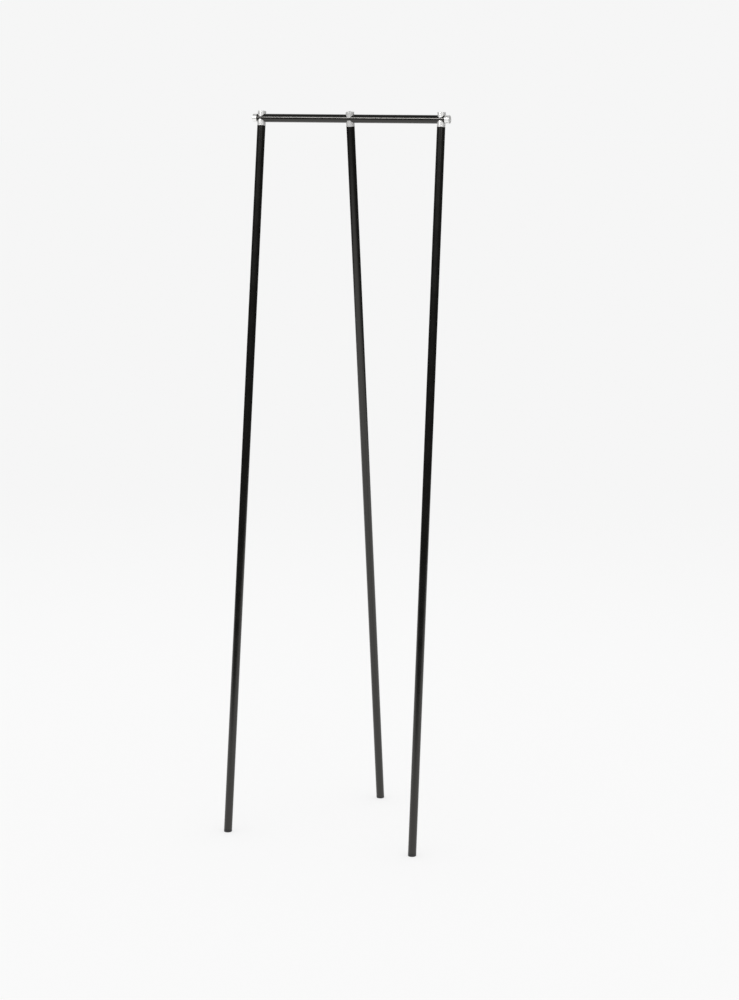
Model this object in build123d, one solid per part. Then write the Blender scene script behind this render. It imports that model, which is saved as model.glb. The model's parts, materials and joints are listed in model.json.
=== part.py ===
from build123d import *
import math
import os

# A three-legged stand: one round top rail carried by three long tube legs. Each leg hangs on the
# rail between a polished collar below it and a polished saddle cap above it, drawn together by one
# tie screw. The tie screw passes through a short slot in the rail, so a loosened leg swings about
# the rail from its standing lean to upright, and the slot's ends are the stops.
#
# Frame: +Z up, X along the rail, the two outer legs lean towards -Y and the middle leg towards +Y.
# The origin is on the floor, straight below the middle of the rail. Millimetres and degrees.

# ---- overall sizes ----------------------------------------------------------------------------
RAIL_HEIGHT = 1650.0  # floor to the rail's axis
LEG_SPACING = 440.0  # between the outer leg axes, where they cross the rail's axis
LEAN = 6.6  # each leg from upright, about the rail
SPLAY = 0.4  # outer legs outwards, along the rail

# ---- tube stock, shared by the rail and the legs ----------------------------------------------
TUBE_OD = 19.0
TUBE_WALL = 1.5
TUBE_EDGE = 0.3  # chamfer on the outer edge of each cut end

# ---- polished fittings ------------------------------------------------------------------------
CAP_RISE = 6.5  # saddle cap's top above the rail's skin
COLLAR_DROP = 7.5  # collar's lower face below the rail's skin
COLLAR_SPIGOT = 8.0  # collar's spigot down into the leg
TIP_GAP = 6.2  # between the tips of a cap and its collar, beside the rail
END_CAP_LENGTH = 10.0
END_REGISTER = 1.5  # end cap's register into the rail
SADDLE_MARGIN = 0.5  # rail's end past the outer edge of the outer saddles
FITTING_EDGE = 0.6  # chamfer on the outer edges of caps

# ---- tie screws, low socket head, with washers ------------------------------------------------
TIE_D = 5.0
TIE_LENGTH = 60.0  # under the head
TIE_HEAD_D = 8.5
TIE_HEAD_H = 3.5
TIE_KEY = 3.0  # hexagon, across its flats
TIE_KEY_DEPTH = 2.0
TIE_HEAD_RECESS = 0.5  # head's top below the cap's top
WASHER_OD = 10.0
WASHER_THICKNESS = 1.0

# ---- end screws, socket head ------------------------------------------------------------------
END_SCREW_D = 4.0
END_HEAD_D = 7.0
END_HEAD_H = 4.0
END_KEY = 3.0
END_KEY_DEPTH = 2.0
END_HEAD_RECESS = 1.4
SCREW_EDGE = 0.4  # chamfer on the screw heads and tips

# ---- pieces inside the tubes ------------------------------------------------------------------
CORE_REACH = 15.0  # rail core, from its leg's axis towards the middle of the rail
CORE_WALL = 1.05  # metal between an end screw's hole and the slot
INSERT_GAP = 2.0  # collar's spigot to the threaded insert
SCREW_RUNOUT = 2.0  # insert's hole past the tie screw's tip
END_RUNOUT = 0.5  # core's blind hole past the end screw's tip

# ---- foot plugs -------------------------------------------------------------------------------
FOOT_HEIGHT = 6.0  # visible part, along the leg's axis
FOOT_SPIGOT = 18.0
FOOT_SPIGOT_WALL = 2.2
FOOT_RIBS = 4
FOOT_RIB_HEIGHT = 0.8
FOOT_RIB_THICKNESS = 1.4
FOOT_EDGE = 0.5  # chamfer round the sole

# ---- clearances, radial unless it says otherwise ----------------------------------------------
SADDLE_CLEARANCE = 0.10  # saddles on the rail, the swing's bearing
SLOT_CLEARANCE = 0.05  # tie screw in the rail's slot
THREAD_CLEARANCE = 0.05  # plain stand-in for a thread in its hole
SHANK_CLEARANCE = 0.25  # screw through a cap or a collar
WASHER_CLEARANCE = 0.15  # tie screw through its washer
INSERT_CLEARANCE = 0.05  # plugs, inserts and spigots in the tubes
COUNTERBORE_CLEARANCE = 0.5  # round a washer or a head

# ---- worked out from the sizes above ----------------------------------------------------------
tube_radius = TUBE_OD / 2
bore_radius = tube_radius - TUBE_WALL
plug_radius = bore_radius - INSERT_CLEARANCE
saddle_radius = tube_radius + SADDLE_CLEARANCE
rail_half = LEG_SPACING / 2 + tube_radius + SADDLE_MARGIN

cap_top = tube_radius + CAP_RISE
tie_seat = cap_top - TIE_HEAD_RECESS - TIE_HEAD_H
washer_seat = tie_seat - WASHER_THICKNESS
tie_tip = tie_seat - TIE_LENGTH
slot_radius = TIE_D / 2 + SLOT_CLEARANCE
slot_travel = 2 * tube_radius * math.tan(math.radians(LEAN / 2))

collar_foot = -(tube_radius + COLLAR_DROP)
insert_top = collar_foot - COLLAR_SPIGOT - INSERT_GAP
insert_foot = tie_tip - SCREW_RUNOUT

end_seat = END_CAP_LENGTH - END_HEAD_RECESS - END_HEAD_H
core_end = rail_half - END_REGISTER
end_hole_depth = core_end - LEG_SPACING / 2 - slot_radius - CORE_WALL
end_screw_length = end_seat + END_REGISTER + end_hole_depth - END_RUNOUT

# name: (place along the rail, way the foot leans in Y, way the foot splays in X)
LEGS = {
    "left": (-LEG_SPACING / 2, -1, -1),
    "middle": (0.0, 1, 0),
    "right": (LEG_SPACING / 2, -1, 1),
}
ENDS = {"left": -1, "right": 1}


def rod(radius, bottom, top):
    """Round bar on the Z axis between two heights."""
    return Pos(0, 0, bottom) * Cylinder(radius, top - bottom, align=(Align.CENTER, Align.CENTER, Align.MIN))


def tube(bottom, top):
    """Length of the tube stock on the Z axis, with its outer edges eased."""
    skin = rod(tube_radius, bottom, top)
    skin = chamfer(skin.edges().filter_by(GeomType.CIRCLE), TUBE_EDGE)
    return skin - rod(bore_radius, bottom, top)


def leg_place(leg, lean=LEAN):
    """Leg's own frame: origin on the rail's axis, +Z up along the leg."""
    station, lean_way, splay_way = LEGS[leg]
    return Pos(station, 0, RAIL_HEIGHT) * Rot(X=lean_way * lean) * Rot(Y=-splay_way * SPLAY)


def end_place(end):
    """Rail end's own frame: origin in the middle of the rail's end face, +Z outwards."""
    return Pos(ENDS[end] * rail_half, 0, RAIL_HEIGHT) * Rot(Y=ENDS[end] * 90)


def leg_length(leg):
    """Distance along a leg from the rail's axis to the floor."""
    splay = SPLAY if LEGS[leg][2] else 0.0
    return RAIL_HEIGHT / (math.cos(math.radians(LEAN)) * math.cos(math.radians(splay)))


def rail_cutter(leg):
    """Space that the rail takes between the saddles, in the leg's own frame."""
    return Rot(Y=LEGS[leg][2] * SPLAY) * Rot(Y=90) * Cylinder(saddle_radius, 4 * TUBE_OD)


def swing_slot(leg):
    """Straight slot through the rail and its core, halfway between the leg's two end places."""
    outline = SlotCenterToCenter(slot_travel, 2 * slot_radius, rotation=90)
    return leg_place(leg, LEAN / 2) * extrude(outline, amount=TUBE_OD, both=True)


def socket_screw(diameter, length, head_d, head_h, key, key_depth):
    """Socket head screw on the Z axis, its head standing on the origin's plane."""
    head = rod(head_d / 2, 0, head_h)
    head = chamfer(head.edges().sort_by(Axis.Z)[-1], SCREW_EDGE)
    shank = rod(diameter / 2, -length, 0)
    shank = chamfer(shank.edges().sort_by(Axis.Z)[0], SCREW_EDGE)
    socket = extrude(RegularPolygon(key / 2, 6, major_radius=False), amount=key_depth)
    return head + shank - Pos(0, 0, head_h - key_depth) * socket


# ---- rail -------------------------------------------------------------------------------------
def make_rail_tube():
    rail = Pos(0, 0, RAIL_HEIGHT) * Rot(Y=90) * tube(-rail_half, rail_half)
    for leg in LEGS:
        rail -= swing_slot(leg)
    return rail


def make_rail_core(leg):
    """Solid core that keeps the rail round under a saddle. The outer ones hold an end screw."""
    if leg in ENDS:
        reach = LEG_SPACING / 2 - CORE_REACH
        core = rod(plug_radius, reach - rail_half, -END_REGISTER)
        hole = rod(END_SCREW_D / 2 + THREAD_CLEARANCE, -END_REGISTER - end_hole_depth, 0)
        core = end_place(leg) * (core - hole)
    else:
        core = Pos(0, 0, RAIL_HEIGHT) * Rot(Y=90) * rod(plug_radius, -CORE_REACH, CORE_REACH)
    return core - swing_slot(leg)


def make_end_cap(end):
    cap = rod(tube_radius, 0, END_CAP_LENGTH)
    cap = chamfer(cap.edges().sort_by(Axis.Z)[-1], FITTING_EDGE)
    cap += rod(plug_radius, -END_REGISTER, 0)
    cap -= rod(END_SCREW_D / 2 + SHANK_CLEARANCE, -END_REGISTER, END_CAP_LENGTH)
    cap -= rod(END_HEAD_D / 2 + COUNTERBORE_CLEARANCE, end_seat, END_CAP_LENGTH)
    return end_place(end) * cap


def make_end_screw(end):
    screw = socket_screw(END_SCREW_D, end_screw_length, END_HEAD_D, END_HEAD_H, END_KEY, END_KEY_DEPTH)
    return end_place(end) * Pos(0, 0, end_seat) * screw


# ---- one leg ----------------------------------------------------------------------------------
def make_saddle_cap(leg):
    cap = rod(tube_radius, TIP_GAP / 2, cap_top)
    cap = chamfer(cap.edges().sort_by(Axis.Z)[-1], FITTING_EDGE)
    cap -= rail_cutter(leg)
    cap -= rod(TIE_D / 2 + SHANK_CLEARANCE, 0, cap_top)
    cap -= rod(WASHER_OD / 2 + COUNTERBORE_CLEARANCE, washer_seat, cap_top)
    return leg_place(leg) * cap


def make_collar(leg):
    collar = rod(tube_radius, collar_foot, -TIP_GAP / 2) - rail_cutter(leg)
    collar += rod(plug_radius, collar_foot - COLLAR_SPIGOT, collar_foot)
    collar -= rod(TIE_D / 2 + SHANK_CLEARANCE, collar_foot - COLLAR_SPIGOT, 0)
    return leg_place(leg) * collar


def make_washer(leg):
    washer = rod(WASHER_OD / 2, washer_seat, tie_seat)
    washer -= rod(TIE_D / 2 + WASHER_CLEARANCE, washer_seat, tie_seat)
    return leg_place(leg) * washer


def make_tie_screw(leg):
    screw = socket_screw(TIE_D, TIE_LENGTH, TIE_HEAD_D, TIE_HEAD_H, TIE_KEY, TIE_KEY_DEPTH)
    return leg_place(leg) * Pos(0, 0, tie_seat) * screw


def make_leg_insert(leg):
    insert = rod(plug_radius, insert_foot, insert_top)
    insert -= rod(TIE_D / 2 + THREAD_CLEARANCE, insert_foot, insert_top)
    return leg_place(leg) * insert


def make_leg_tube(leg):
    return leg_place(leg) * tube(FOOT_HEIGHT - leg_length(leg), collar_foot)


def make_foot_plug(leg):
    """Ribbed plug in the leg's end. Its sole is cut level with the floor at the standing lean."""
    shoulder = FOOT_HEIGHT - leg_length(leg)
    spigot_top = shoulder + FOOT_SPIGOT
    plug = rod(tube_radius, shoulder - 2 * FOOT_HEIGHT, shoulder)
    plug += rod(plug_radius - FOOT_RIB_HEIGHT, shoulder, spigot_top)
    pitch = FOOT_SPIGOT / FOOT_RIBS
    for index in range(FOOT_RIBS):
        rib_top = spigot_top - index * pitch
        plug += rod(plug_radius, rib_top - FOOT_RIB_THICKNESS, rib_top)
    plug -= rod(plug_radius - FOOT_RIB_HEIGHT - FOOT_SPIGOT_WALL, shoulder, spigot_top)
    plug = leg_place(leg) * plug
    plug -= Box(4 * RAIL_HEIGHT, 4 * RAIL_HEIGHT, 4 * TUBE_OD, align=(Align.CENTER, Align.CENTER, Align.MAX))
    sole = plug.faces().sort_by(Axis.Z)[0]
    return chamfer(sole.edges(), FOOT_EDGE)


def build_parts():
    """Every piece of the stand, each under its node's name."""
    parts = {"rail_tube": make_rail_tube()}
    for end in ENDS:
        parts[f"{end}_end_cap"] = make_end_cap(end)
        parts[f"{end}_end_screw"] = make_end_screw(end)
    for leg in LEGS:
        parts[f"{leg}_rail_core"] = make_rail_core(leg)
        parts[f"{leg}_saddle_cap"] = make_saddle_cap(leg)
        parts[f"{leg}_collar"] = make_collar(leg)
        parts[f"{leg}_washer"] = make_washer(leg)
        parts[f"{leg}_tie_screw"] = make_tie_screw(leg)
        parts[f"{leg}_leg_insert"] = make_leg_insert(leg)
        parts[f"{leg}_leg_tube"] = make_leg_tube(leg)
        parts[f"{leg}_foot_plug"] = make_foot_plug(leg)
    return parts


os.makedirs("parts", exist_ok=True)
for node, solid in build_parts().items():
    export_step(solid, f"parts/{node}.step")
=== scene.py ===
"""Looks of the three-legged stand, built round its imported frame.

Every visible piece is turned or cut in bmesh from the sizes that the frame gives, and rides on the body of
the node it stands for. Lengths are metres, in the frame's own axes: +Z up, X along the rail.
"""

import json
import logging
import math
from dataclasses import dataclass
from enum import Enum
from typing import Callable, Sequence

import bmesh
import bpy
from bmesh.types import BMEdge, BMesh, BMVert
from bpy.types import ID, Material, Mesh, Node, NodeOutputs, NodeSocket, NodeTree, Object
from mathutils import Matrix, Vector


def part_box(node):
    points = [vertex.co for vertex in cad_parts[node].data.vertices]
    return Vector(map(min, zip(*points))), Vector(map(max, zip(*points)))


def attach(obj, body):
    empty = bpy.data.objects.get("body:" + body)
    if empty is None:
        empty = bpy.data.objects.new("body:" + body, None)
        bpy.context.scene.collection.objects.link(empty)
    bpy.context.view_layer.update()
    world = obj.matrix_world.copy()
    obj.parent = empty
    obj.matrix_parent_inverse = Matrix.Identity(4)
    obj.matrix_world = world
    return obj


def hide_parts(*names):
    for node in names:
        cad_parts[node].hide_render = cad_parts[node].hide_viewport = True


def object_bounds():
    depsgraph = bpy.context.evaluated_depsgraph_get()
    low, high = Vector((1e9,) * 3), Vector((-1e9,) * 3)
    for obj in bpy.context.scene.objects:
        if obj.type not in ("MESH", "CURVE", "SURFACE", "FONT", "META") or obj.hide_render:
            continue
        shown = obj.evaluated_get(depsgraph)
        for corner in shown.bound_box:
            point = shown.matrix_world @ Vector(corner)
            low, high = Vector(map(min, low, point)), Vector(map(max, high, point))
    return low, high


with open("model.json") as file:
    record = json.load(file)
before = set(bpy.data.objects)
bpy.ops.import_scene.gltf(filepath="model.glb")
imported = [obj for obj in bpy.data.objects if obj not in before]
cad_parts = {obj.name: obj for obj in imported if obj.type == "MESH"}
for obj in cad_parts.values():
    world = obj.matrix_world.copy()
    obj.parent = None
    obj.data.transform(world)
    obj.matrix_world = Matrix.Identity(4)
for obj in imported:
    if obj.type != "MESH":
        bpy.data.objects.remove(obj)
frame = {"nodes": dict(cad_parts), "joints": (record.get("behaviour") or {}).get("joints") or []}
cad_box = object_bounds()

log = logging.getLogger("stand")

MM = 0.001
PLACE_ATTRIBUTE = "own_place"
WEAR_ATTRIBUTE = "edge_wear"
NEARLY_ALONG = 0.9  # cosine over which a direction counts as the rail's
WELD = 0.0005 * MM  # points closer than this are one
EDGE_FADE = 0.6  # how much less a rounded corner's ends are edge than its middle is
NOISE_RANGE = (0.3, 0.7)  # where most of a noise's values lie
LINE_STRETCH = 0.004  # width of a drawing line as a share of its length
RUB_LIFT, RUB_LEVEL, RUB_CONTRAST = 1.4, 1.0, 4.0  # how the rub's mask is lifted, cut off and hardened
MIX_COLOURS, MIX_RESULT = (6, 7), 2  # a Mix node's colour sockets, by their order


# ---- places that the frame gives ----------------------------------------------------------------
class Leg(Enum):
    """The stand's three legs, by the first word of their nodes' names."""

    LEFT = "left"
    MIDDLE = "middle"
    RIGHT = "right"


class End(Enum):
    """The rail's two ends, with the way each one faces along X."""

    LEFT = -1
    RIGHT = 1

    @property
    def word(self) -> str:
        """First word of this end's node names."""
        return self.name.lower()


@dataclass(frozen=True)
class Span:
    """How far a node reaches in a place's own axes."""

    low: Vector
    high: Vector

    @property
    def radius(self) -> float:
        """Half the node's width along the place's X axis."""
        return (self.high.x - self.low.x) / 2


def joint(name: str) -> dict:
    """A joint's entry in the frame, by its name in the record."""
    return next(entry for entry in frame["joints"] if entry["name"] == name)


def place_along(axis: Vector, origin: Vector) -> Matrix:
    """Makes a place whose Z axis runs along a direction and whose X axis stays near the rail's.

    Args:
        axis: The direction, of any length.
        origin: The place's origin.

    Returns:
        The matrix from the place's own axes to the frame's.
    """
    z_axis = axis.normalized()
    hint = Vector((1, 0, 0)) if abs(z_axis.x) < NEARLY_ALONG else Vector((0, 0, 1))
    x_axis = (hint - z_axis * hint.dot(z_axis)).normalized()
    y_axis = z_axis.cross(x_axis)
    turn = Matrix((x_axis, y_axis, z_axis)).transposed().to_4x4()
    return Matrix.Translation(origin) @ turn


def leg_place(leg: Leg) -> Matrix:
    """A leg's own place: origin on the rail's axis, +Z up along the leg."""
    turn = joint(f"{leg.value}_tie_screw_turn")
    return place_along(Vector(turn["axis"]), Vector(turn["pos_m"]))


def half_swing(leg: Leg) -> float:
    """Half of a leg's swing, in radians."""
    return math.radians(joint(f"{leg.value}_leg_swing")["range_deg"][1]) / 2


def slot_place(leg: Leg) -> Matrix:
    """The place of a leg's slot in the rail, halfway through the leg's swing."""
    swing = joint(f"{leg.value}_leg_swing")
    pivot = Matrix.Translation(Vector(swing["pos_m"]))
    turn = Matrix.Rotation(half_swing(leg), 4, Vector(swing["axis"]))
    return pivot @ turn @ pivot.inverted() @ leg_place(leg)


def span_of(node: str, place: Matrix) -> Span:
    """Measures a node in a place's own axes.

    Args:
        node: The node's name.
        place: The place's matrix.

    Returns:
        The node's lowest and highest corners there.
    """
    inverse = place.inverted()
    points = [inverse @ vertex.co for vertex in frame["nodes"][node].data.vertices]
    low = Vector(min(p[i] for p in points) for i in range(3))
    high = Vector(max(p[i] for p in points) for i in range(3))
    return Span(low, high)

# ---- node groups shared by the finishes ---------------------------------------------------------
def feed(tree: NodeTree, target: NodeSocket, value: object) -> None:
    """Links a socket to an input, or sets the input where a plain value is given."""
    if isinstance(value, NodeSocket):
        tree.links.new(value, target)
    else:
        target.default_value = value


def add_node(tree: NodeTree, kind: str, *inputs: object, **values: object) -> Node:
    """Adds a node and sets its properties and inputs.

    Args:
        tree: The node tree.
        kind: The node's type name, without its ShaderNode prefix.
        *inputs: A socket or a value for each input, from the first one on.
        **values: Properties by name, or a socket or a value for an input, with spaces as underscores.

    Returns:
        The node.
    """
    node = tree.nodes.new("ShaderNode" + kind)
    for key, value in values.items():
        if hasattr(node, key):
            setattr(node, key, value)
        else:
            feed(tree, node.inputs[key.replace("_", " ")], value)
    for target, value in zip(node.inputs, inputs):
        feed(tree, target, value)
    return node


def math_node(tree: NodeTree, operation: str, *inputs: object, **values: object) -> NodeSocket:
    """Adds a math node on sockets or numbers, and gives its output."""
    return add_node(tree, "Math", *inputs, operation=operation, **values).outputs[0]


def mix_colours(tree: NodeTree, mask: NodeSocket, under: object, over: object) -> NodeSocket:
    """Lays one colour over another.

    Args:
        tree: The node tree.
        mask: Where the upper colour shows.
        under: The lower colour, a socket or its three channels.
        over: The upper colour, likewise.

    Returns:
        The colour.
    """
    node = add_node(tree, "Mix", data_type="RGBA", Factor=mask)
    for index, value in zip(MIX_COLOURS, (under, over)):
        feed(tree, node.inputs[index], value if isinstance(value, NodeSocket) else (*value, 1.0))
    return node.outputs[MIX_RESULT]


class Pattern:
    """A shared node group that makes heights or masks from a place."""

    def __init__(self, name: str, outputs: Sequence[str], **inputs: float) -> None:
        """Starts the group.

        Args:
            name: The group's name.
            outputs: Each output's name.
            **inputs: Each number input's name and the value it starts with.
        """
        self.tree = bpy.data.node_groups.new(name, "ShaderNodeTree")
        sockets = self.tree.interface
        sockets.new_socket("Place", in_out="INPUT", socket_type="NodeSocketVector")
        for label, value in inputs.items():
            sockets.new_socket(label, in_out="INPUT", socket_type="NodeSocketFloat").default_value = value
        for label in outputs:
            sockets.new_socket(label, in_out="OUTPUT", socket_type="NodeSocketFloat")
        self.given = self.tree.nodes.new("NodeGroupInput").outputs
        self.results = self.tree.nodes.new("NodeGroupOutput").inputs
        self.place = self.given["Place"]

    def noise(self, scale: str, **values: object) -> NodeSocket:
        """Adds a noise on the group's place, or on what is given, with one of the inputs as its scale."""
        where = {} if "W" in values else {"Vector": self.place}
        return add_node(self.tree, "TexNoise", **(where | values), Scale=self.given[scale]).outputs["Fac"]

    def give(self, output: str, value: NodeSocket) -> None:
        """Links a socket to one of the group's outputs."""
        feed(self.tree, self.results[output], value)


def make_grain() -> None:
    """Fine grain with a slower cloudiness under it, as in a coating or a moulded skin."""
    grain = Pattern("coating_grain", ["Height", "Clouds"], Grain=2600.0, Cloud=28.0)
    grain.give("Height", grain.noise("Grain", Detail=2.0, Roughness=0.55))
    grain.give("Clouds", grain.noise("Cloud", Detail=3.0, Roughness=0.55))


def make_draw_lines() -> None:
    """Faint lines along a drawn tube, many times longer than they are wide."""
    lines = Pattern("draw_lines", ["Height"], Fineness=1500.0)
    stretched = add_node(lines.tree, "Mapping", Vector=lines.place, Scale=(1, 1, LINE_STRETCH))
    lines.give("Height", lines.noise("Fineness", Vector=stretched.outputs[0], Detail=3.0, Roughness=0.6))


def make_turned_lines() -> None:
    """Rings that a lathe tool leaves, on the sides of a turned piece and on its faces."""
    turned = Pattern("turned_lines", ["Height", "Smudges"], Fineness=5200.0, Smudge=190.0)
    tree = turned.tree
    x, y, z = add_node(tree, "SeparateXYZ", turned.place).outputs
    squares = math_node(tree, "ADD", math_node(tree, "MULTIPLY", x, x), math_node(tree, "MULTIPLY", y, y))
    travel = math_node(tree, "ADD", math_node(tree, "SQRT", squares), z)
    lines = turned.noise("Fineness", noise_dimensions="1D", W=travel, Detail=2.0, Roughness=0.7)
    smudges = turned.noise("Smudge", Detail=4.0, Roughness=0.62, Distortion=0.8)
    turned.give("Height", lines)
    turned.give("Smudges", smudges)


def make_wear() -> None:
    """Rubbed patches along the edges that the meshes mark."""
    rub = Pattern("edge_rub", ["Mask"], Amount=0.5, Patches=900.0)
    tree = rub.tree
    noise = rub.noise("Patches", Detail=5.0, Roughness=0.6)
    edge = add_node(tree, "Attribute", attribute_name=WEAR_ATTRIBUTE).outputs["Fac"]
    raised = math_node(tree, "MULTIPLY", math_node(tree, "MULTIPLY", edge, rub.given["Amount"]), RUB_LIFT)
    level = math_node(tree, "SUBTRACT", math_node(tree, "ADD", raised, noise), RUB_LEVEL)
    rub.give("Mask", math_node(tree, "MULTIPLY", level, RUB_CONTRAST, use_clamp=True))


def make_dust() -> None:
    """Thin dust on what faces up."""
    dust = Pattern("settled_dust", ["Mask"], Amount=0.1, Specks=420.0)
    tree = dust.tree
    noise = dust.noise("Specks", Detail=6.0, Roughness=0.7)
    normal = add_node(tree, "NewGeometry").outputs["Normal"]
    up = math_node(tree, "MAXIMUM", add_node(tree, "SeparateXYZ", normal).outputs["Z"], 0.0)
    facing = math_node(tree, "MULTIPLY", math_node(tree, "POWER", up, 2.0), noise)
    dust.give("Mask", math_node(tree, "MULTIPLY", facing, dust.given["Amount"]))


# ---- finishes -----------------------------------------------------------------------------------
Colour = tuple[float, float, float]


class Paintbox:
    """One material's node tree, with the steps that the finishes share."""

    def __init__(self, name: str, turned: bool = True) -> None:
        """Starts a material with one Principled shader.

        Args:
            name: The material's name.
            turned: True for pieces that keep their own place, False for whole CAD nodes.
        """
        self.material = bpy.data.materials.new(name)
        self.material.use_nodes = True
        self.tree = self.material.node_tree
        self.shader = next(n for n in self.tree.nodes if n.type == "BSDF_PRINCIPLED")
        if turned:
            self.place = add_node(self.tree, "Attribute", attribute_name=PLACE_ATTRIBUTE).outputs["Vector"]
        else:
            self.place = add_node(self.tree, "TexCoord").outputs["Object"]

    def group(self, name: str, **values: float) -> NodeOutputs:
        """Adds one of the shared node groups with its inputs set, and gives its outputs."""
        group = bpy.data.node_groups[name]
        return add_node(self.tree, "Group", node_tree=group, Place=self.place, **values).outputs

    def remap(self, socket: NodeSocket, low: float = 0.0, high: float = 1.0) -> NodeSocket:
        """Maps a noise's usual range to a range of its own."""
        start, end = NOISE_RANGE
        return add_node(self.tree, "MapRange", Value=socket, From_Min=start, From_Max=end, To_Min=low,
                        To_Max=high).outputs["Result"]

    def bump(self, height: NodeSocket, depth: float, under: NodeSocket | None = None) -> NodeSocket:
        """Adds a bump of a depth in metres, on top of another one's normal if it is given."""
        node = add_node(self.tree, "Bump", Strength=1.0, Distance=depth, Height=height)
        if under is not None:
            feed(self.tree, node.inputs["Normal"], under)
        return node.outputs["Normal"]

    def shade(self, **values: object) -> Material:
        """Feeds the shader's inputs, named with spaces as underscores, and gives the material."""
        for key, value in values.items():
            feed(self.tree, self.shader.inputs[key.replace("_", " ")], value)
        return self.material


@dataclass(frozen=True)
class SatinBlackCoat:
    """Thin black coat on drawn tube."""

    name: str = "satin_black_coat"
    colour: Colour = (0.0032, 0.0031, 0.0026)
    cloudy: Colour = (0.0046, 0.0045, 0.0038)
    gloss: Colour = (1.0, 0.975, 0.93)
    bare: Colour = (0.055, 0.053, 0.048)
    dust: Colour = (0.16, 0.155, 0.145)
    roughness: tuple[float, float] = (0.14, 0.18)
    ior: float = 1.62
    grain_depth: float = 0.0022 * MM
    line_depth: float = 0.004 * MM

    def make(self) -> Material:
        """Builds the material."""
        box = Paintbox(self.name)
        grain = box.group("coating_grain", Grain=2400.0, Cloud=24.0)
        lines = box.group("draw_lines", Fineness=1500.0)
        rub = box.group("edge_rub", Amount=0.42, Patches=1100.0)
        dust = box.group("settled_dust", Amount=0.035, Specks=520.0)
        coat = mix_colours(box.tree, box.remap(grain["Clouds"]), self.colour, self.cloudy)
        rubbed = mix_colours(box.tree, rub["Mask"], coat, self.bare)
        fine = box.bump(grain["Height"], self.grain_depth)
        return box.shade(
            Base_Color=mix_colours(box.tree, dust["Mask"], rubbed, self.dust),
            Roughness=box.remap(grain["Clouds"], *self.roughness),
            Normal=box.bump(lines["Height"], self.line_depth, fine),
            IOR=self.ior,
            Specular_Tint=(*self.gloss, 1.0),
        )


@dataclass(frozen=True)
class TurnedMetal:
    """Bright turned metal, more or less polished. Frosted metal scatters a share of its light."""

    name: str
    colour: Colour
    smudged: Colour
    roughness: tuple[float, float]
    line_depth: float
    frosting: float = 0.0
    rubbed_gain: float = 1.08

    def make(self) -> Material:
        """Builds the material."""
        box = Paintbox(self.name)
        turned = box.group("turned_lines", Fineness=5200.0, Smudge=190.0)
        rub = box.group("edge_rub", Amount=0.5, Patches=1500.0)
        plain = mix_colours(box.tree, box.remap(turned["Smudges"]), self.colour, self.smudged)
        bright = tuple(min(1.0, channel * self.rubbed_gain) for channel in self.colour)
        return box.shade(
            Base_Color=mix_colours(box.tree, rub["Mask"], plain, bright),
            Roughness=box.remap(turned["Smudges"], *self.roughness),
            Normal=box.bump(turned["Height"], self.line_depth),
            Metallic=1.0 - self.frosting,
        )


@dataclass(frozen=True)
class SawnMetal:
    """Plain cut metal inside the tubes."""

    name: str = "sawn_aluminium"
    colour: Colour = (0.78, 0.79, 0.8)
    stained: Colour = (0.66, 0.665, 0.67)
    roughness: tuple[float, float] = (0.32, 0.5)
    depth: float = 0.012 * MM

    def make(self) -> Material:
        """Builds the material."""
        box = Paintbox(self.name, turned=False)
        grain = box.group("coating_grain", Grain=1900.0, Cloud=170.0)
        return box.shade(
            Base_Color=mix_colours(box.tree, box.remap(grain["Clouds"]), self.colour, self.stained),
            Roughness=box.remap(grain["Clouds"], *self.roughness),
            Normal=box.bump(grain["Height"], self.depth),
            Metallic=1.0,
        )


@dataclass(frozen=True)
class MouldedBlack:
    """Matt black moulded plastic."""

    name: str = "moulded_black"
    colour: Colour = (0.012, 0.012, 0.0115)
    scuffed: Colour = (0.032, 0.031, 0.029)
    roughness: tuple[float, float] = (0.36, 0.5)
    depth: float = 0.012 * MM
    ior: float = 1.5

    def make(self) -> Material:
        """Builds the material."""
        box = Paintbox(self.name)
        grain = box.group("coating_grain", Grain=3200.0, Cloud=160.0)
        rub = box.group("edge_rub", Amount=0.75, Patches=1300.0)
        return box.shade(
            Base_Color=mix_colours(box.tree, rub["Mask"], self.colour, self.scuffed),
            Roughness=box.remap(grain["Clouds"], *self.roughness),
            Normal=box.bump(grain["Height"], self.depth),
            IOR=self.ior,
        )


class Finishes:
    """Every material of the stand, made once."""

    def __init__(self) -> None:
        """Builds the shared node groups and then the materials."""
        for make in (make_grain, make_draw_lines, make_turned_lines, make_wear, make_dust):
            make()
        self.tube = SatinBlackCoat().make()
        self.fitting = TurnedMetal("bright_fitting", (0.95, 0.945, 0.93), (0.9, 0.895, 0.88),
                                   (0.24, 0.34), 0.0012 * MM, frosting=0.4).make()
        self.screw = TurnedMetal("zinc_screw", (0.66, 0.67, 0.68), (0.55, 0.56, 0.57),
                                 (0.24, 0.38), 0.002 * MM).make()
        self.inner = SawnMetal().make()
        self.foot = MouldedBlack().make()


# ---- turned pieces ------------------------------------------------------------------------------
Round = Callable[[float], float]
Shape = Callable[[float, float], float]


@dataclass(frozen=True)
class Corner:
    """One corner of a turned piece's outline.

    Attributes:
        radius: Distance from the axis.
        height: Height along the axis.
        ease: Radius that the corner is rounded to.
        on_saddle: True where the height is counted from the saddle.
    """

    radius: float
    height: float
    ease: float = 0.0
    on_saddle: bool = False


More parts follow.
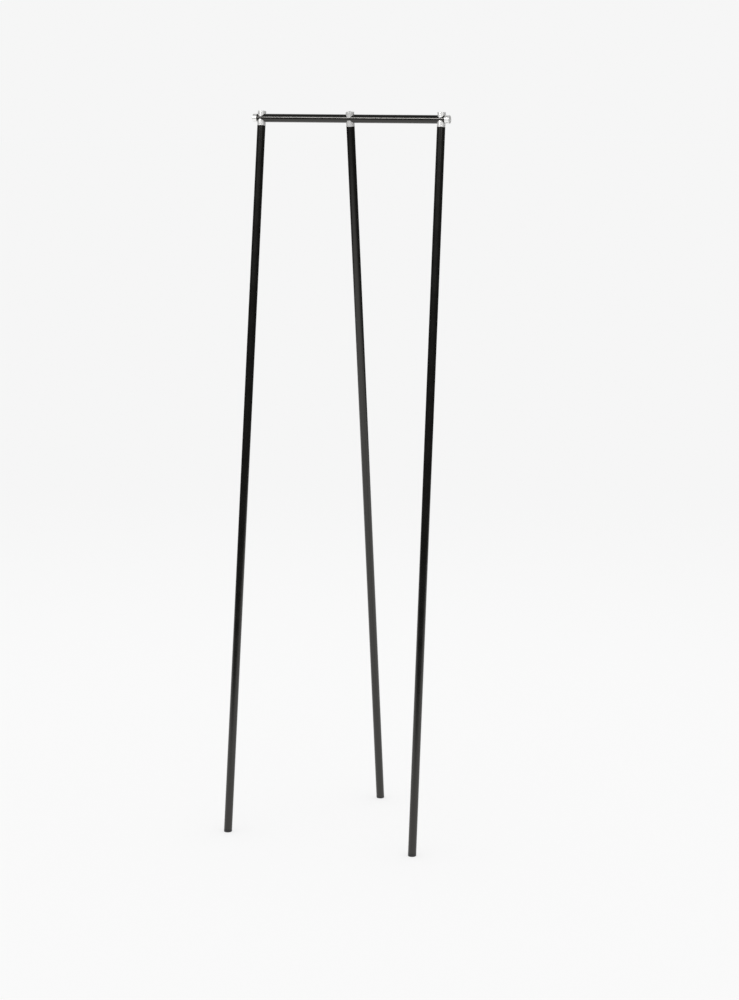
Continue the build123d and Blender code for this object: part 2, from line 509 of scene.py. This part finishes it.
def rounded(outline: Sequence[Corner], steps: int = 4) -> list[tuple[Corner, float]]:
    """Rounds the corners of a closed outline, and keeps the sides between them straight in their shading.

    Args:
        outline: The corners, in order round the section.
        steps: Faces in each rounded corner.

    Returns:
        The outline's points as plain corners, each with how much it is edge.
    """
    points = []
    spots = [Vector((corner.radius, corner.height)) for corner in outline]
    for index, corner in enumerate(outline):
        if not corner.ease:
            points.append((corner, 0.0))
            continue
        before, here, after = spots[index - 1], spots[index], spots[(index + 1) % len(spots)]
        back, ahead = (before - here).normalized(), (after - here).normalized()
        half = math.acos(max(-1.0, min(1.0, back.dot(ahead)))) / 2
        reach = corner.ease / math.tan(half)
        centre = here + (back + ahead).normalized() * (corner.ease / math.sin(half))
        start, end = here + back * reach - centre, here + ahead * reach - centre
        made = [(here + back * (reach + min(corner.ease, (before - here).length / 4)), 0.0)]
        for step in range(steps + 1):
            share = step / steps
            arm = start.normalized().slerp(end.normalized(), share) * corner.ease
            made.append((centre + arm, 1.0 - abs(2 * share - 1) * EDGE_FADE))
        made.append((here + ahead * (reach + min(corner.ease, (after - here).length / 4)), 0.0))
        points += [(Corner(spot.x, spot.y, 0.0, corner.on_saddle), edge) for spot, edge in made]
    return points


def tube_outline(radius: float, bore: float, low: float, high: float, edge: float) -> list[Corner]:
    """Section of a tube whose outer edges are eased, and its inner ones half as much."""
    return [
        Corner(radius, low, edge),
        Corner(radius, high, edge),
        Corner(bore, high, edge / 2),
        Corner(bore, low, edge / 2),
    ]


class Turning:
    """A closed piece grown ring by ring about its own Z axis."""

    def __init__(self, name: str, segments: int) -> None:
        """Starts an empty piece.

        Args:
            name: The finished object's name.
            segments: Faces round the piece.
        """
        self.name = name
        self.segments = segments
        self.bm = bmesh.new()
        self.angle = self.bm.verts.layers.float.new("angle")
        self.wear = self.bm.verts.layers.float.new(WEAR_ATTRIBUTE)
        self.first: list[BMEdge] = []
        self.ring: list[BMEdge] = []

    def add_ring(self, radius: Round | float, height: Shape | float, wear: float = 0.0) -> None:
        """Adds a ring and joins it to the one before.

        Args:
            radius: Radius, or its function by angle.
            height: Height, or its function by angle and radius.
            wear: How much the ring is edge, from 0 to 1.
        """
        if not self.first:
            made = bmesh.ops.create_circle(self.bm, segments=self.segments, radius=1.0)["verts"]
            for vert in made:
                vert[self.angle] = math.atan2(vert.co.y, vert.co.x)
            self.first = self.ring = list(self.bm.edges)
        else:
            grown = bmesh.ops.extrude_edge_only(self.bm, edges=self.ring)["geom"]
            made = [item for item in grown if isinstance(item, BMVert)]
            fresh = set(made)
            self.ring = [edge for edge in self.bm.edges if set(edge.verts) <= fresh]
        for vert in made:
            angle = vert[self.angle]
            reach = radius(angle) if callable(radius) else radius
            level = height(angle, reach) if callable(height) else height
            vert.co = (reach * math.cos(angle), reach * math.sin(angle), level)
            vert[self.wear] = wear

    def follow(self, outline: Sequence[Corner], saddle: Shape | None = None, steps: int = 4) -> "Turning":
        """Adds a ring for each point of a closed outline, its corners rounded.

        Args:
            outline: The corners of the piece's section.
            saddle: Height of the saddle by angle and radius, for corners that follow it.
            steps: Faces in each rounded corner.

        Returns:
            The piece itself.
        """
        for point, edge in rounded(outline, steps):
            def lifted(angle: float, reach: float, base: float = point.height) -> float:
                """Height over the saddle."""
                return base + saddle(angle, reach)

            self.add_ring(point.radius, lifted if point.on_saddle else point.height, edge)
        return self

    def close(self) -> "Turning":
        """Joins the last ring to the first."""
        bmesh.ops.bridge_loops(self.bm, edges=self.ring + self.first)
        return self

    def cap_ends(self) -> "Turning":
        """Closes both ends with flat faces."""
        for edges in (list(self.first), list(self.ring)):
            bmesh.ops.contextual_create(self.bm, geom=edges)
        return self

    def finish(self, place: Matrix, sharp: float = 30.0) -> Object:
        """Makes the piece's object, as finish_mesh does."""
        return finish_mesh(self.bm, self.name, place, sharp)


def add_object(name: str, data: ID) -> Object:
    """Makes an object of its data and puts it in the scene."""
    made = bpy.data.objects.new(name, data)
    bpy.context.scene.collection.objects.link(made)
    return made


def mesh_of(bm: BMesh, name: str) -> Mesh:
    """Makes a mesh of a bmesh, which is freed."""
    mesh = bpy.data.meshes.new(name)
    bm.to_mesh(mesh)
    bm.free()
    return mesh


def slice_mesh(bm: BMesh, spot: Vector, normal: Vector, **values: bool) -> list[BMEdge]:
    """Cuts a mesh along a plane, and gives the cut's edges."""
    everything = [*bm.verts, *bm.edges, *bm.faces]
    cut = bmesh.ops.bisect_plane(bm, geom=everything, plane_co=spot, plane_no=normal, **values)
    return [item for item in cut["geom_cut"] if isinstance(item, BMEdge)]


def finish_mesh(bm: BMesh, name: str, place: Matrix, sharp: float = 30.0) -> Object:
    """Turns a bmesh into an object at the origin, with smooth faces and its own place kept.

    Args:
        bm: The mesh, in its own axes. It is freed.
        name: The object's name.
        place: The matrix from its own axes to the frame's.
        sharp: Angle in degrees over which an edge stays sharp.

    Returns:
        The object.
    """
    bmesh.ops.remove_doubles(bm, verts=bm.verts, dist=WELD)
    bmesh.ops.recalc_face_normals(bm, faces=bm.faces)
    own = bm.verts.layers.float_vector.new(PLACE_ATTRIBUTE)
    for vert in bm.verts:
        vert[own] = vert.co
    for face in bm.faces:
        face.smooth = True
    bm.transform(place)
    mesh = mesh_of(bm, name)
    mesh.set_sharp_from_angle(angle=math.radians(sharp))
    return add_object(name, mesh)


def dress(piece: Object, node: str, body: str, material: Material) -> None:
    """Gives a finished piece its material and its body, and hides the CAD node that it stands for.

    Args:
        piece: The finished object.
        node: The CAD node that it replaces.
        body: The CAD body that it rides on.
        material: The Blender material.
    """
    piece.data.materials.append(material)
    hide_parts(node)
    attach(piece, body)
    log.info("%s: %d faces, rides on %s", piece.name, len(piece.data.polygons), body)


def paint_node(node: str, material: Material) -> None:
    """Gives a CAD node that is kept as it is its material."""
    materials = frame["nodes"][node].data.materials
    materials.clear()
    materials.append(material)
    log.info("%s: kept, painted %s", node, material.name)


# ---- screws and washers -------------------------------------------------------------------------
@dataclass(frozen=True)
class SocketScrew:
    """Socket head screw with a knurled head.

    Attributes:
        shank: Radius of the shank.
        pitch: Thread's pitch.
        key: Hexagon's width across its flats.
        key_lead: How far the hexagon's mouth widens, over key_lead_depth.
        drill: The drill's cone under the hexagon, as a share of its width, drill_depth deep.
        round_in: Middle of the rim's round inwards, and round_down downwards, as shares of ease.
        knurl_top: Where the knurl starts and, with knurl_foot, where it ends, as shares of ease.
        threaded: Share of the shank that is threaded.
    """

    shank: float
    head_height: float
    pitch: float
    key: float = 3.0 * MM
    key_depth: float = 2.0 * MM
    segments: int = 96
    ease: float = 0.35 * MM
    knurl: float = 0.09 * MM
    thread: float = 0.28 * MM
    key_lead: float = 0.15 * MM
    key_lead_depth: float = 0.3 * MM
    drill: float = 0.45
    drill_depth: float = 0.35 * MM
    round_in: float = 0.35
    round_down: float = 0.3
    knurl_top: float = 1.4
    knurl_foot: float = 0.6
    threaded: float = 0.45

    def hexagon(self, angle: float) -> float:
        """Radius of the hexagon at an angle."""
        sixth = math.pi / 3
        off_flat = (angle + sixth / 2) % sixth - sixth / 2
        return self.key / 2 / math.cos(off_flat)

    def build(self, name: str, place: Matrix, span: Span) -> Object:
        """Builds the screw.

        Args:
            name: The object's name.
            place: The screw's own place.
            span: How far the CAD node reaches there.

        Returns:
            The object.
        """
        top, tip, head = span.high.z, span.low.z, span.radius
        seat, ease, waist = top - self.head_height, self.ease, head - self.knurl
        knurl_step = math.tau / (self.segments / 2)

        def knurled(angle: float) -> float:
            """Radius of the knurled side at an angle."""
            return head - self.knurl * (0.5 + 0.5 * math.cos(angle / knurl_step * math.tau + math.pi))

        turns = int((seat - tip) * self.threaded / self.pitch)
        thread_top = tip + turns * self.pitch + self.pitch
        # Radius, height and wear of each ring, from the hexagon's floor out over the head to the tip.
        rings = [
            (lambda angle: self.hexagon(angle) * self.drill, top - self.key_depth - self.drill_depth, 0.0),
            (self.hexagon, top - self.key_depth, 0.0),
            (self.hexagon, top - self.key_lead_depth, 0.0),
            (self.key / 2 / math.cos(math.pi / 6) + self.key_lead, top, 0.7),
            (waist - ease, top, 0.5),
            (waist - ease * self.round_in, top - ease * self.round_down, 1.0),
            (waist, top - ease, 0.8),
            (knurled, top - ease * self.knurl_top, 0.5),
            (knurled, seat + ease, 0.3),
            (waist, seat + ease * self.knurl_foot, 0.5),
            (head - ease, seat, 0.5),
            (self.shank, seat, 0.0),
            (self.shank, thread_top, 0.0),
        ]
        for index in range(turns):
            crest = thread_top - (index + 0.5) * self.pitch
            rings.append((self.shank - self.thread, crest + self.pitch / 4, 0.0))
            rings.append((self.shank, crest - self.pitch / 4, 0.0))
        rings.append((self.shank - self.thread, tip, 0.0))
        screw = Turning(name, self.segments)
        for ring in rings:
            screw.add_ring(*ring)
        return screw.cap_ends().finish(place, sharp=35.0)


@dataclass(frozen=True)
class Washer:
    """Plain washer with eased edges."""

    bore: float
    ease: float = 0.15 * MM
    segments: int = 96

    def build(self, name: str, place: Matrix, span: Span) -> Object:
        """Builds the washer to fill its node's span."""
        low, high, rim = span.low.z, span.high.z, span.radius
        outline = [
            Corner(self.bore, high, self.ease),
            Corner(rim, high, self.ease),
            Corner(rim, low, self.ease),
            Corner(self.bore, low, self.ease),
        ]
        return Turning(name, self.segments).follow(outline, steps=3).close().finish(place)


# ---- the rail with its end fittings -------------------------------------------------------------
@dataclass
class Rail:
    """The top rail, its cores, end caps and end screws."""

    finishes: Finishes
    wall: float = 1.5 * MM
    edge: float = 0.3 * MM
    segments: int = 128
    tie_shank: float = 2.5 * MM
    slot_clearance: float = 0.05 * MM
    slot_segments: int = 48
    cap_edge: float = 0.6 * MM
    cap_seam: float = 0.18 * MM
    counterbore: float = 4.0 * MM
    counterbore_depth: float = 5.4 * MM
    counterbore_edge: float = 0.25 * MM
    screw_hole: float = 2.25 * MM
    register: float = 1.5 * MM
    screw: SocketScrew = SocketScrew(shank=2.0 * MM, head_height=4.0 * MM, pitch=0.7 * MM)
    body: str = "rail"

    def __post_init__(self) -> None:
        """Reads the rail's place and size from the frame."""
        low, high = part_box("rail_tube")
        centre = (low + high) / 2
        self.place = place_along(Vector((1, 0, 0)), centre)
        self.half = (high.x - low.x) / 2
        self.radius = (high.z - low.z) / 2
        self.centre = centre

    def build(self) -> None:
        """Builds and dresses every piece of the rail."""
        self.build_tube()
        for end in End:
            self.build_end_cap(end)
            self.build_end_screw(end)
        for leg in Leg:
            paint_node(f"{leg.value}_rail_core", self.finishes.inner)

    def build_tube(self) -> None:
        """The rail tube, with a slot for each leg's tie screw."""
        outline = tube_outline(self.radius, self.radius - self.wall, -self.half, self.half, self.edge)
        tube = Turning("rail", self.segments).follow(outline, steps=3).close()
        for leg in Leg:
            station = joint(f"{leg.value}_leg_swing")["pos_m"][0]
            for side in (-2 * self.radius / 3, 2 * self.radius / 3):
                slice_mesh(tube.bm, Vector((0, 0, station + side)), Vector((0, 0, 1)))
        piece = tube.finish(self.place)
        for leg in Leg:
            self.cut_slot(piece, leg)
        dress(piece, "rail_tube", self.body, self.finishes.tube)

    def cut_slot(self, piece: Object, leg: Leg) -> None:
        """Cuts the slot that a leg's tie screw swings in.

        Args:
            piece: The rail tube.
            leg: The leg.
        """
        shank = self.tie_shank + self.slot_clearance
        shift = self.radius * math.tan(half_swing(leg))
        cutter = bmesh.new()
        bmesh.ops.create_circle(cutter, segments=self.slot_segments, radius=shank, cap_ends=True)
        for vert in cutter.verts:
            vert.co.y += shift if vert.co.y > -self.slot_clearance else -shift
            vert.co.z = -2 * self.radius
        raised = bmesh.ops.extrude_face_region(cutter, geom=list(cutter.faces))["geom"]
        top = [item for item in raised if isinstance(item, BMVert)]
        bmesh.ops.translate(cutter, verts=top, vec=(0, 0, 4 * self.radius))
        tool = finish_mesh(cutter, f"slot_cutter_{leg.value}", slot_place(leg))
        cut = piece.modifiers.new("slot", "BOOLEAN")
        cut.operation = "DIFFERENCE"
        cut.solver = "EXACT"
        cut.object = tool
        graph = bpy.context.evaluated_depsgraph_get()
        mesh = bpy.data.meshes.new_from_object(piece.evaluated_get(graph))
        piece.modifiers.clear()
        piece.data = mesh
        bpy.data.objects.remove(tool)

    def end_place(self, end: End) -> Matrix:
        """The place of one end of the rail tube, +Z outwards."""
        return place_along(Vector((end.value, 0, 0)), self.centre + Vector((end.value * self.half, 0, 0)))

    def build_end_cap(self, end: End) -> None:
        """A turned cap with a counterbore, on one end of the rail."""
        node = f"{end.word}_end_cap"
        place = self.end_place(end)
        span = span_of(node, place)
        top, plug = span.high.z, self.radius - self.wall - 0.05 * MM
        outline = [
            Corner(self.screw_hole, -self.register, self.edge / 2),
            Corner(plug, -self.register, self.edge),
            Corner(plug, 0.0),
            Corner(self.radius, 0.0, self.cap_seam),
            Corner(self.radius, top, self.cap_edge),
            Corner(self.counterbore, top, self.counterbore_edge),
            Corner(self.counterbore, top - self.counterbore_depth),
            Corner(self.screw_hole, top - self.counterbore_depth),
        ]
        piece = Turning(f"{node}_turned", self.segments).follow(outline, steps=5).close().finish(place)
        dress(piece, node, self.body, self.finishes.fitting)

    def build_end_screw(self, end: End) -> None:
        """The screw in an end cap."""
        node = f"{end.word}_end_screw"
        place = self.end_place(end)
        piece = self.screw.build(f"{node}_knurled", place, span_of(node, place))
        dress(piece, node, self.body, self.finishes.screw)


# ---- one leg ------------------------------------------------------------------------------------
@dataclass
class LegAssembly:
    """One leg: its tube, foot plug, collar, saddle cap, washer, tie screw and insert.

    Attributes:
        rim_round: Points of a saddle's rounded rim, inwards and along the leg, in rim edges.
    """

    leg: Leg
    rail: Rail
    finishes: Finishes
    saddle_clearance: float = 0.10 * MM
    screw_hole: float = 2.75 * MM
    counterbore: float = 5.5 * MM
    counterbore_edge: float = 0.3 * MM
    cap_edge: float = 0.6 * MM
    rim_edge: float = 0.12 * MM
    rim_round: tuple[tuple[float, float], ...] = ((3, 0), (1, 0), (0.3, 0.3), (0, 1), (0, 4))
    seam: float = 0.18 * MM
    tube_edge: float = 0.3 * MM
    saddle_rings: int = 10
    segments: int = 128
    rib: float = 0.8 * MM
    rib_thickness: float = 1.4 * MM
    ribs: int = 4
    foot_wall: float = 2.2 * MM
    sole_edge: float = 1.5 * MM
    screw: SocketScrew = SocketScrew(shank=2.5 * MM, head_height=3.5 * MM, pitch=0.8 * MM)
    washer: Washer = Washer(bore=2.65 * MM)

    def __post_init__(self) -> None:
        """Reads the leg's place and sizes from the frame."""
        self.word = self.leg.value
        self.body = f"{self.word}_leg"
        self.place = leg_place(self.leg)
        self.tube = self.span("leg_tube")
        self.collar = self.span("collar")
        self.cap = self.span("saddle_cap")
        self.radius = self.rail.radius
        self.bore = self.radius - self.rail.wall
        self.plug = self.bore - 0.05 * MM
        self.tip = self.cap.low.z
        axis = self.place.col[2]
        self.slope = axis.x / math.hypot(axis.y, axis.z)

    def span(self, part: str) -> Span:
        """How far one of the leg's nodes reaches in the leg's own axes."""
        return span_of(f"{self.word}_{part}", self.place)

    def fit(self, piece: Object, part: str, material: Material) -> None:
        """Dresses a piece as one of the leg's nodes, riding on the leg's own body."""
        dress(piece, f"{self.word}_{part}", self.body, material)

    def saddle(self, side: int) -> Shape:
        """Makes the height of the rail's round, over or under its axis.

        Args:
            side: 1 for the cap's saddle, -1 for the collar's.

        Returns:
            The height by angle and radius.
        """
        reach = self.radius + self.saddle_clearance

        def height(angle: float, radius: float) -> float:
            """Height of the rail's round there, or of the fitting's blunt tip."""
            across = radius * math.sin(angle)
            along = radius * math.cos(angle)
            rise = math.sqrt(max(0.0, reach * reach - across * across)) + side * self.slope * along
            return side * max(self.tip, rise)

        return height

    def saddle_corners(self, inner: float, outer: float, side: int) -> list[Corner]:
        """Corners across a saddle, close enough together to follow its round.

        Args:
            inner: Radius of the screw's hole.
            outer: Radius of the fitting.
            side: 1 for the cap's saddle, -1 for the collar's.

        Returns:
            The corners from the hole outwards, with the rim rounded.
        """
        corners = []
        for index in range(self.saddle_rings - 1):
            share = math.sin(math.pi / 2 * index / self.saddle_rings)
            corners.append(Corner(inner + (outer - inner) * share, 0.0, 0.0, True))
        for inwards, along in self.rim_round:
            radius, height = outer - inwards * self.rim_edge, side * along * self.rim_edge
            corners.append(Corner(radius, height, 0.0, True))
        return corners

    def build(self) -> None:
        """Builds and dresses every piece of the leg."""
        self.build_cap()
        self.build_collar()
        self.build_tube()
        self.build_foot()
        washer = self.washer.build(f"{self.word}_washer_plain", self.place, self.span("washer"))
        self.fit(washer, "washer", self.finishes.screw)
        screw = self.screw.build(f"{self.word}_tie_screw_knurled", self.place, self.span("tie_screw"))
        dress(screw, f"{self.word}_tie_screw", f"{self.word}_tie_screw", self.finishes.screw)
        paint_node(f"{self.word}_leg_insert", self.finishes.inner)

    def build_cap(self) -> None:
        """The saddle cap: coped to the rail below, counterbored on top."""
        top = self.cap.high.z
        seat = self.span("washer").low.z
        outline = self.saddle_corners(self.screw_hole, self.radius, 1) + [
            Corner(self.radius, top, self.cap_edge),
            Corner(self.counterbore, top, self.counterbore_edge),
            Corner(self.counterbore, seat),
            Corner(self.screw_hole, seat),
        ]
        cap = Turning(f"{self.word}_saddle_cap_turned", self.segments).follow(outline, self.saddle(1), 5)
        self.fit(cap.close().finish(self.place), "saddle_cap", self.finishes.fitting)

    def build_collar(self) -> None:
        """The collar: coped to the rail above, with a spigot down into the leg."""
        shoulder, foot = self.tube.high.z, self.collar.low.z
        outline = self.saddle_corners(self.screw_hole, self.radius, -1) + [
            Corner(self.radius, shoulder, self.seam),
            Corner(self.plug, shoulder),
            Corner(self.plug, foot, self.tube_edge),
            Corner(self.screw_hole, foot, self.tube_edge),
        ]
        collar = Turning(f"{self.word}_collar_turned", self.segments).follow(outline, self.saddle(-1), 5)
        self.fit(collar.close().finish(self.place), "collar", self.finishes.fitting)

    def build_tube(self) -> None:
        """The leg tube."""
        low, high = self.tube.low.z, self.tube.high.z
        tube = Turning(f"{self.word}_leg", self.segments)
        tube.follow(tube_outline(self.radius, self.bore, low, high, self.tube_edge)).close()
        self.fit(tube.finish(self.place), "leg_tube", self.finishes.tube)

    def build_foot(self) -> None:
        """The foot plug: ribbed spigot in the tube, sole cut level with the floor."""
        span = self.span("foot_plug")
        shoulder, spigot_top = self.tube.low.z, span.high.z
        core = self.plug - self.rib
        pitch = (spigot_top - shoulder) / self.ribs
        outline = [
            Corner(core - self.foot_wall, shoulder),
            Corner(core - self.foot_wall, spigot_top),
        ]
        for index in range(self.ribs):
            rib_top = spigot_top - index * pitch
            outline += [
                Corner(self.plug, rib_top, self.rib / 4),
                Corner(self.plug, rib_top - self.rib_thickness, self.rib / 4),
                Corner(core, rib_top - self.rib_thickness),
            ]
            if index < self.ribs - 1:
                outline.append(Corner(core, rib_top - pitch))
        outline += [
            Corner(core, shoulder),
            Corner(self.radius, shoulder, self.seam),
            Corner(self.radius, span.low.z - self.radius),
        ]
        plug = Turning(f"{self.word}_foot_moulded", self.segments).follow(outline, steps=3).cap_ends()
        self.cut_sole(plug.bm)
        self.fit(plug.finish(self.place), "foot_plug", self.finishes.foot)

    def cut_sole(self, bm: BMesh) -> None:
        """Cuts a plug level with the floor and eases the sole's edge.

        Args:
            bm: The plug's mesh, in the leg's own axes.
        """
        inverse = self.place.inverted()
        floor = inverse @ Vector((0, 0, 0))
        down = (inverse.to_3x3() @ Vector((0, 0, -1))).normalized()
        rim = slice_mesh(bm, floor, down, clear_outer=True)
        bmesh.ops.contextual_create(bm, geom=rim)
        bmesh.ops.bevel(bm, geom=rim, offset=self.sole_edge, offset_type="OFFSET", affect="EDGES", segments=4,
                        profile=0.5, material=-1)


# ---- floor, light and camera --------------------------------------------------------------------
@dataclass(frozen=True)
class SoftLight:
    """A soft light that faces the rail.

    Attributes:
        offset: Degrees to the right of the camera's bearing.
        distance: Level distance from the stand.
        height: Height of the light's centre.
        size: Width and height of the light.
        radiance: Brightness that a mirror would show.
    """

    name: str
    offset: float
    distance: float
    height: float
    size: tuple[float, float]
    radiance: float


def empty_tree(owner: ID) -> NodeTree:
    """Turns a material's or a world's nodes on, and clears them."""
    owner.use_nodes = True
    owner.node_tree.nodes.clear()
    return owner.node_tree


def fade(tree: NodeTree, value: NodeSocket, bounds: tuple[float, float],
         tones: tuple[float, float] = (0.0, 1.0)) -> NodeSocket:
    """Goes smoothly from one tone to another while a value goes from bound to bound."""
    return add_node(tree, "MapRange", interpolation_type="SMOOTHSTEP", Value=value, From_Min=bounds[0],
                    From_Max=bounds[1], To_Min=tones[0], To_Max=tones[1]).outputs["Result"]


@dataclass(frozen=True)
class Studio:
    """Pale floor, white paper under the stand, soft lights and the camera.

    Attributes:
        camera_turn: The camera's turn, in degrees.
        bearing: How far the camera stands to the right of straight in front, in degrees.
        washed_out: Share of the floor's tone that no shadow darkens.
        pale: Distances from the stand at which the floor goes from its near tone, lighter as a painted pool
        of light in place of the soft lights on the floor, to far_tone.
        sky: Brightness of the even light all round.
        paper: Distances at which the paper seen in reflections starts and ends its fade.
        paper_tones: Tone of the paper, and of the dark floor past it.
        paper_shift: How far the paper's middle lies to the right of the stand.
        lights: The soft lights, which only the reflections show.
        room: Height of the sky's direction and tone there, for the reflections.
        wall: Where the white back wall starts and is full, as cosines from the camera's bearing.
        wall_top: Heights of the sky's direction between which the wall ends.
    """

    camera_place: tuple[float, float, float] = (2.084, -4.985, 1.745)
    camera_turn: tuple[float, float, float] = (79.815, -0.064, 22.226)
    lens: float = 84.97
    sensor: float = 36.0
    bearing: float = 22.7
    floor_radius: float = 60.0
    floor_segments: int = 128
    # painted pool of light: the floor's tone near the stand, lighter than far_tone
    painted_pool_tone: float = 0.955
    far_tone: float = 0.921
    pale: tuple[float, float] = (1.0, 5.0)
    washed_out: float = 0.7
    sky: float = 1.0
    paper: tuple[float, float] = (3.5, 6.8)
    paper_tones: tuple[float, float] = (0.97, 0.05)
    paper_shift: float = -0.35
    lights: tuple[SoftLight, ...] = (
        SoftLight("key_light", -45.0, 3.6, 3.12, (1.1, 0.62), 14.0),
        SoftLight("side_light", 18.0, 3.8, 2.98, (1.2, 1.2), 1.5),
        SoftLight("right_fill", 50.0, 3.6, 4.6, (1.6, 1.6), 4.0),
        SoftLight("left_fill", -85.0, 3.6, 4.2, (1.6, 1.6), 4.0),
    )
    room: tuple[tuple[float, float], ...] = (
        (0.0, 0.05), (0.12, 0.06), (0.16, 0.09), (0.19, 0.3), (0.25, 0.8), (0.5, 0.8), (0.7, 0.4),
        (0.85, 0.1), (1.0, 0.06),
    )
    wall: tuple[float, float] = (-0.74, -0.93)
    wall_top: tuple[float, float] = (0.75, 0.55)
    wall_tone: float = 0.95

    def build(self) -> None:
        """Builds the studio."""
        self.build_floor()
        self.build_world()
        for light in self.lights:
            self.build_light(light)
        self.build_camera()
        view = bpy.context.scene.view_settings
        view.view_transform = "Standard"
        view.look = "None"

    def direction(self, offset: float) -> Vector:
        """Level direction from the stand, a number of degrees to the right of the camera's."""
        angle = math.radians(self.bearing + offset)
        return Vector((math.sin(angle), -math.cos(angle), 0))

    def build_floor(self) -> None:
        """Wide disc, lighter near the stand as a painted pool of light in place of the soft lights, which
        light no diffuse surface. Reflections see white paper on a dark floor, as in a studio.
        """
        bm = bmesh.new()
        bmesh.ops.create_circle(bm, segments=self.floor_segments, radius=self.floor_radius, cap_ends=True)
        floor = add_object("floor", mesh_of(bm, "floor"))
        material = bpy.data.materials.new("pale_floor")
        tree = empty_tree(material)
        spot = add_node(tree, "TexCoord").outputs["Object"]
        centre = self.direction(90.0) * self.paper_shift
        away = add_node(tree, "VectorMath", spot, centre, operation="DISTANCE").outputs["Value"]
        # Painted pool of light: the floor is lighter near the stand, standing in for the soft lights, which
        # light no diffuse surface.
        tone = fade(tree, away, self.pale, (self.painted_pool_tone, self.far_tone))
        plain = add_node(tree, "BsdfDiffuse", Color=tone)
        glow = add_node(tree, "Emission", Color=tone)
        pale = add_node(tree, "MixShader", self.washed_out, plain.outputs[0], glow.outputs[0])
        paper = add_node(tree, "Emission", Strength=fade(tree, away, self.paper, self.paper_tones))
        glossy = add_node(tree, "LightPath").outputs["Is Glossy Ray"]
        mix = add_node(tree, "MixShader", glossy, pale.outputs[0], paper.outputs[0])
        add_node(tree, "OutputMaterial", Surface=mix.outputs[0])
        floor.data.materials.append(material)

    def build_world(self) -> None:
        """Even soft light all round, and a dim room with a white back wall for the reflections."""
        world = bpy.data.worlds.new("studio")
        bpy.context.scene.world = world
        tree = empty_tree(world)
        ray = add_node(tree, "TexCoord").outputs["Generated"]
        height = add_node(tree, "SeparateXYZ", ray).outputs["Z"]
        room = add_node(tree, "ValToRGB", height)
        ramp = room.color_ramp
        while len(ramp.elements) < len(self.room):
            ramp.elements.new(0.5)
        for element, (place, tone) in zip(ramp.elements, self.room):
            element.position = place
            element.color = (tone, tone, tone, 1.0)
        toward = add_node(tree, "VectorMath", ray, self.direction(0.0), operation="DOT_PRODUCT")
        behind = fade(tree, toward.outputs["Value"], self.wall)
        wall = math_node(tree, "MULTIPLY", behind, fade(tree, height, self.wall_top))
        reflected = mix_colours(tree, wall, room.outputs["Color"], [self.wall_tone] * 3)
        path = add_node(tree, "LightPath").outputs
        seen = mix_colours(tree, path["Is Camera Ray"], [self.sky] * 3, [self.far_tone] * 3)
        chosen = mix_colours(tree, path["Is Glossy Ray"], seen, reflected)
        background = add_node(tree, "Background", Color=chosen)
        add_node(tree, "OutputWorld", Surface=background.outputs[0])

    def build_light(self, light: SoftLight) -> None:
        """Adds one of the soft lights. It isn't seen itself, and only the reflections show it."""
        data = bpy.data.lights.new(light.name, "AREA")
        data.shape = "RECTANGLE"
        data.size, data.size_y = light.size
        data.energy = light.radiance * math.pi * data.size * data.size_y
        lamp = add_object(light.name, data)
        place = self.direction(light.offset) * light.distance
        place.z = light.height
        target = Vector((0, 0, cad_box[1].z))
        lamp.location = place
        lamp.rotation_mode = "QUATERNION"
        lamp.rotation_quaternion = (target - place).to_track_quat("-Z", "Y")
        lamp.visible_camera = False
        lamp.visible_diffuse = False

    def build_camera(self) -> None:
        """Adds the camera."""
        data = bpy.data.cameras.new("camera")
        data.lens = self.lens
        data.sensor_width = self.sensor
        camera = add_object("camera", data)
        camera.location = self.camera_place
        camera.rotation_euler = [math.radians(angle) for angle in self.camera_turn]
        bpy.context.scene.camera = camera


def main() -> None:
    """Builds the studio, then the stand's looks in order."""
    logging.basicConfig(level=logging.INFO, format="%(name)s: %(message)s")
    Studio().build()
    finishes = Finishes()
    rail = Rail(finishes)
    rail.build()
    for leg in Leg:
        LegAssembly(leg, rail, finishes).build()


if __name__ == "__main__":
    main()
